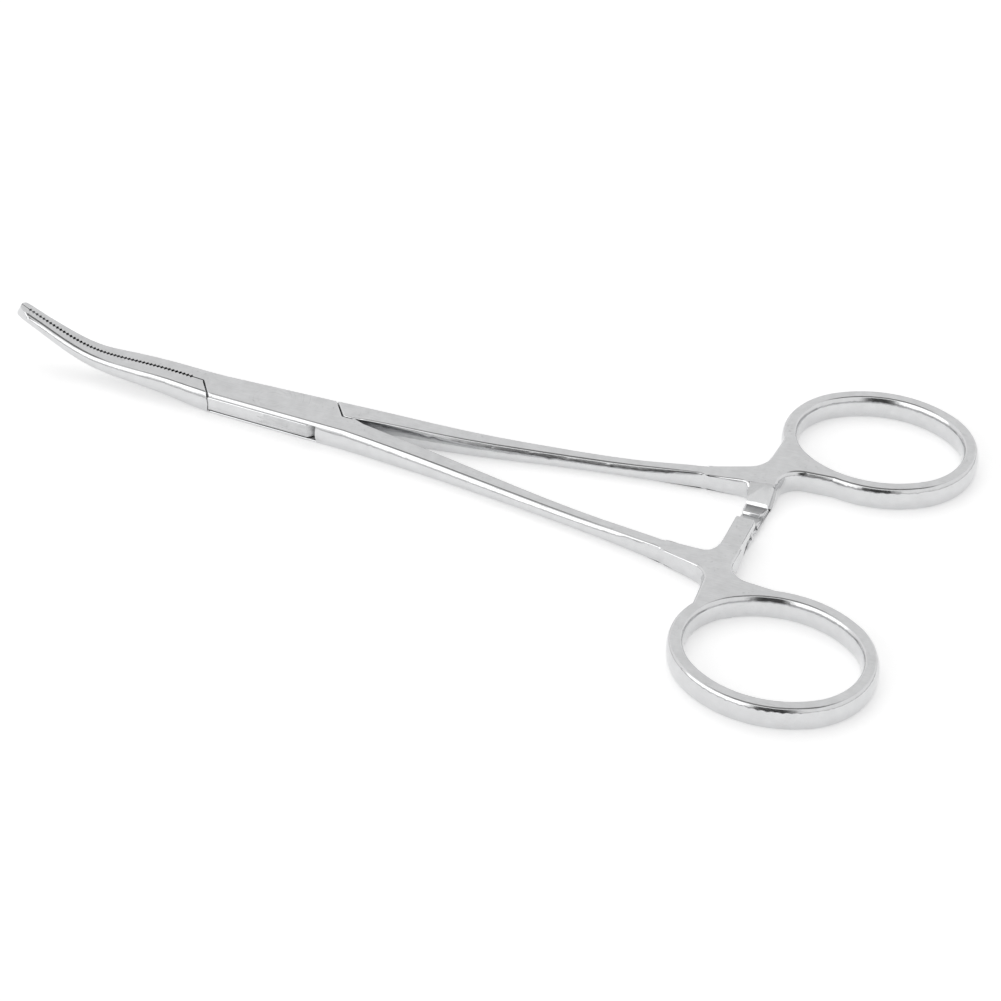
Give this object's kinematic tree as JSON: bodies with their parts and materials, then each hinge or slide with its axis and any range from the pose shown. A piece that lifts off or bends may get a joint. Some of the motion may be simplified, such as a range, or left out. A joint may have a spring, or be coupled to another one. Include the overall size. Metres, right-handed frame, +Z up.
{
  "type": "hemostat forceps",
  "caption": "Curved fine-tipped locking forceps with a box lock, serrated jaws, finger rings and an overlapping ratchet that holds the jaws closed.",
  "frame": {"origin": "centre of the bounding box in plan, at the height of the flat underside of the box lock that the closed forceps lie on", "axes": "+X from the jaw tips to the finger rings, +Y to the ring of the tongue half, +Z up, the way the jaws curve"},
  "size_m": [0.1256, 0.066, 0.0084],
  "materials": {
    "satin_steel": "satin",
    "pin_steel": "satin"
  },
  "bodies": {
    "box_side": {"box_half": "satin_steel", "pivot_pin": "pin_steel"},
    "tongue_side": {"tongue_half": "satin_steel"}
  },
  "joints": [
    {"name": "box_lock", "type": "hinge", "parent": "box_side", "child": "tongue_side", "pos_m": [-0.02548, 0, 0.00165], "axis": [0, 0, 1], "range_deg": [0, 50]}
  ]
}
